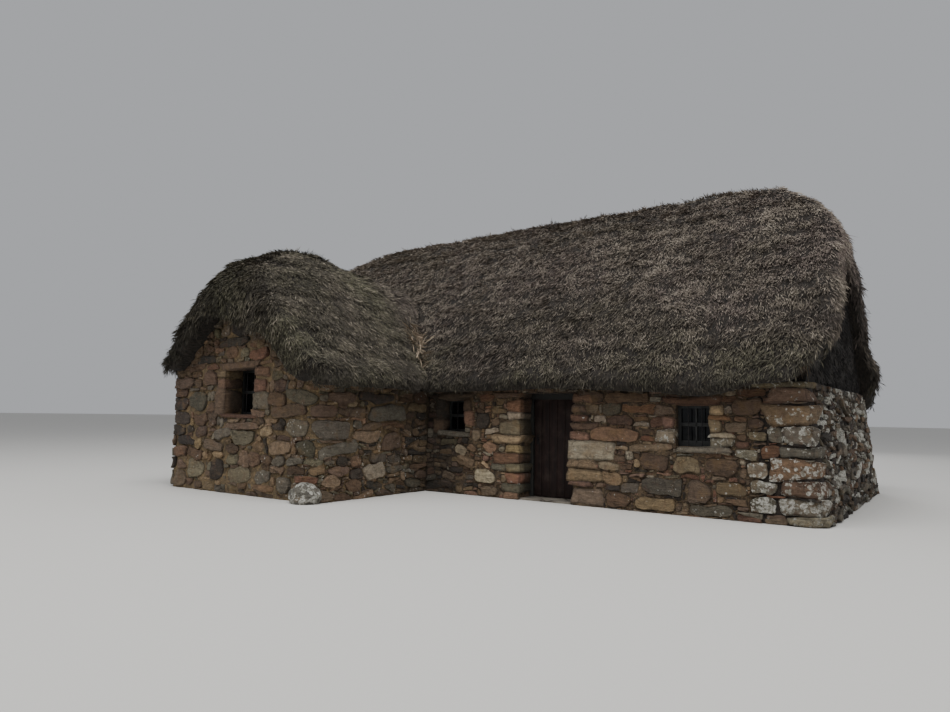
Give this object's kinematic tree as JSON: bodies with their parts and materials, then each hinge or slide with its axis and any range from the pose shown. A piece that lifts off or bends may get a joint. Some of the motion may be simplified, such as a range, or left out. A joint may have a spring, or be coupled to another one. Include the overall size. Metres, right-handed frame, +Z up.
{
  "type": "thatched cottage",
  "caption": "Low rubble-stone cottage with a short gabled wing, thick heather thatch with half-hipped ends, small set-back windows and a plank door.",
  "frame": {"origin": "middle of the whole cottage's bounding box, at ground level", "axes": "+X along the main range towards the end by the large window, +Y from the front wall to the back wall, +Z up"},
  "size_m": [11.3282, 9.175, 5.48],
  "materials": {
    "rubble_stone": "random rubble of brown, buff and grey field stones in clay mortar, with pale lichen",
    "lintel_stone": "split stone slab",
    "heather_thatch": "weathered grey-brown heather, shaggy",
    "turf_panel": "dark packed turf and heather",
    "roof_timber": "rough dark timber",
    "dark_painted_wood": "dark brown painted boards",
    "frame_paint": "dark grey painted timber",
    "black_iron": "black wrought iron",
    "window_glass": "dark old glass",
    "flagstone": "worn grey flags"
  },
  "bodies": {
    "cottage": {"front_wall_west": "rubble_stone", "front_wall_east": "rubble_stone", "east_gable_wall": "rubble_stone", "west_gable_wall": "rubble_stone", "back_wall": "rubble_stone", "wing_gable_wall": "rubble_stone", "wing_east_wall": "rubble_stone", "wing_west_wall": "rubble_stone", "corner_boulder": "rubble_stone", "door_lintel": "lintel_stone", "east_window_lintel": "lintel_stone", "inner_window_lintel": "lintel_stone", "back_window_lintel": "lintel_stone", "wing_window_lintel": "lintel_stone", "main_thatch_front": "heather_thatch", "main_thatch_back": "heather_thatch", "wing_thatch_east": "heather_thatch", "wing_thatch_west": "heather_thatch", "east_gable_panel": "turf_panel", "west_gable_panel": "turf_panel", "roof_couple_1": "roof_timber", "roof_couple_2": "roof_timber", "roof_couple_3": "roof_timber", "roof_couple_4": "roof_timber", "wing_couple_1": "roof_timber", "wing_couple_2": "roof_timber", "ridge_pole": "roof_timber", "door_frame": "frame_paint", "east_window_frame": "frame_paint", "inner_window_frame": "frame_paint", "back_window_frame": "frame_paint", "wing_window_frame": "frame_paint", "door_pintle_upper": "black_iron", "door_pintle_lower": "black_iron", "east_window_glass": "window_glass", "inner_window_glass": "window_glass", "back_window_glass": "window_glass", "wing_window_glass": "window_glass", "flag_floor": "flagstone", "door_threshold": "flagstone"},
    "door": {"door_leaf": "dark_painted_wood", "door_ledges": "dark_painted_wood", "door_strap_upper": "black_iron", "door_strap_lower": "black_iron", "door_latch": "black_iron"}
  },
  "joints": [
    {"name": "door_hinge", "type": "hinge", "parent": "cottage", "child": "door", "pos_m": [1.92794, -1.1875, 0.855], "axis": [0, 0, -1], "range_deg": [0, 95]}
  ]
}
